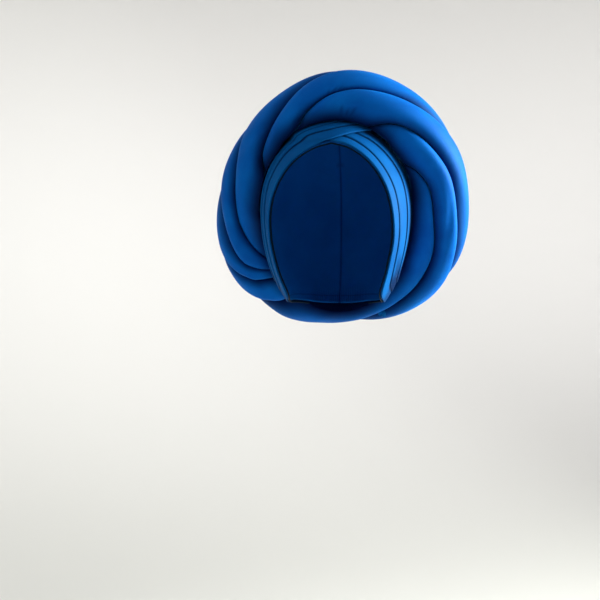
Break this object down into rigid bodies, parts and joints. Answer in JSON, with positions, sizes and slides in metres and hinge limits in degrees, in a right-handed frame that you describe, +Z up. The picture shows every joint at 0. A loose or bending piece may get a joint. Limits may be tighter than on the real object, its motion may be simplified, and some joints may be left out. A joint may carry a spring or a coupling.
{
  "type": "pre-tied turban",
  "caption": "Pre-tied head wrap in its worn form: a stretch cap with crossed pleated bands round the face and a padded halo of twisted rolls.",
  "frame": {"origin": "inside of the cap's crown, where the top of the wearer's head sits", "axes": "-Y towards the face side, +X to a viewer's right, +Z up"},
  "size_m": [0.2865, 0.1862, 0.2727],
  "materials": {
    "cap_cloth": "matte stretch knit",
    "band_cloth": "smooth stretch knit with a soft sheen",
    "binding_cloth": "matte knit edge",
    "halo_cloth": "smooth stretch knit over padding, with a soft sheen"
  },
  "bodies": {
    "root": {"inner_cap": "cap_cloth", "left_band_1": "band_cloth", "left_band_2": "band_cloth", "left_band_3": "band_cloth", "right_band_1": "band_cloth", "right_band_2": "band_cloth", "right_band_3": "band_cloth", "rim_binding": "binding_cloth", "halo_roll_1": "halo_cloth", "halo_roll_2": "halo_cloth", "halo_roll_3": "halo_cloth", "halo_roll_4": "halo_cloth"}
  },
  "joints": []
}
